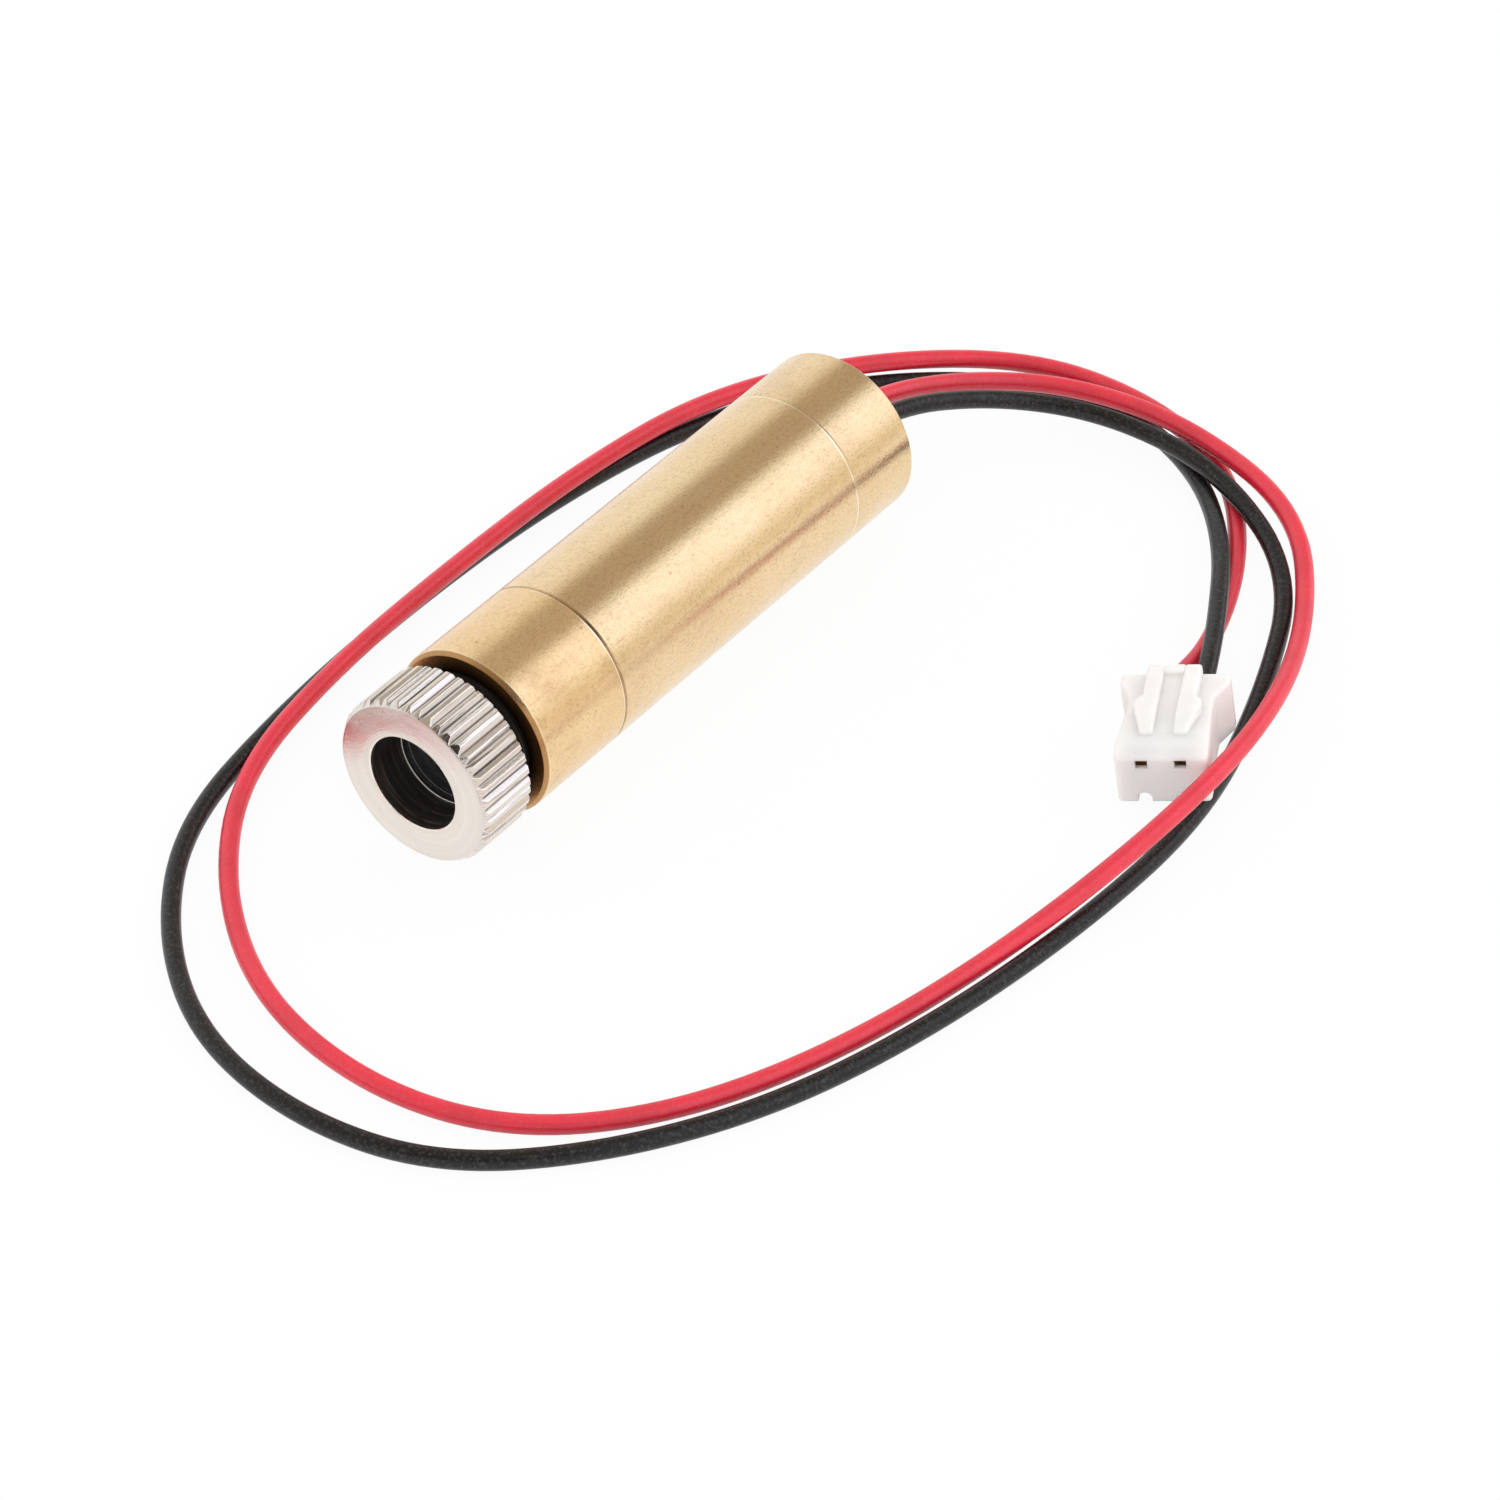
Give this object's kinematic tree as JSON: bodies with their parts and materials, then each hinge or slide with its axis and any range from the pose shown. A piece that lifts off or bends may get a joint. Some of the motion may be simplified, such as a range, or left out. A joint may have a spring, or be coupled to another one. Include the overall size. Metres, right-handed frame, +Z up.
{
  "type": "laser diode module",
  "caption": "Focusable laser diode module: round brass barrel, knurled nut with a lens cell on a fine thread, driver board inside, a pair of leads with a crimp connector.",
  "frame": {"origin": "on the optical axis, inside the main tube, 20 mm behind the front face of the brass", "axes": "the optical axis is Y and light leaves towards -Y; +Z is up with the module lying on its side"},
  "size_m": [0.0554, 0.0899, 0.012],
  "materials": {
    "ring_brass": "turned, slightly scratched",
    "barrel_brass": "satin",
    "black_potting": "matt resin",
    "nickel": "turned face, knurled rim",
    "black_anodised": "black anodised, turned",
    "lens_glass": "clear, coated",
    "spring_steel": "drawn wire",
    "diode_gold": "gold plated",
    "sleeve_film": "clear film",
    "board_laminate": "coated laminate",
    "chip_resin": "moulded",
    "ferrite": "sintered",
    "ceramic": "fired",
    "trimmer_plastic": "moulded",
    "solder": "bright",
    "red_insulation": "smooth",
    "black_insulation": "smooth",
    "white_nylon": "moulded",
    "contact_brass": "tinned"
  },
  "bodies": {
    "barrel": {"front_ring": "ring_brass", "main_tube": "barrel_brass", "rear_section": "barrel_brass", "rear_plug": "black_potting", "diode_base": "diode_gold", "diode_cap": "diode_gold", "diode_window": "lens_glass", "diode_pin_a": "diode_gold", "diode_pin_b": "diode_gold", "diode_pin_c": "diode_gold", "board_sleeve": "sleeve_film", "driver_board": "board_laminate", "driver_chip": "chip_resin", "inductor": "ferrite", "output_capacitor": "ceramic", "input_capacitor": "ceramic", "sense_resistor": "chip_resin", "current_trimmer": "trimmer_plastic", "red_solder": "solder", "black_solder": "solder", "red_lead_tail": "red_insulation", "black_lead_tail": "black_insulation", "red_lead": "red_insulation", "black_lead": "black_insulation", "connector_housing": "white_nylon", "red_contact": "contact_brass", "black_contact": "contact_brass", "focus_spring": "spring_steel"},
    "lens": {"collimating_lens": "lens_glass"},
    "focusing_nut": {"lens_nut": "nickel", "lens_cell": "black_anodised", "lens_ring": "black_anodised"}
  },
  "joints": [
    {"name": "focus_travel", "type": "slide", "parent": "barrel", "child": "lens", "axis": [0, 1, 0], "range_m": [-0.00201, 0.00141], "deforming": ["focus_spring"]},
    {"name": "focus_turn", "type": "hinge", "parent": "lens", "child": "focusing_nut", "pos_m": [0, -0.02, 0], "axis": [0, 1, 0], "range_deg": [-1440, 1008]}
  ],
  "couplings": [
    {"joint": "focus_travel", "follows": "focus_turn", "m_per_rad": 0.000079577}
  ]
}
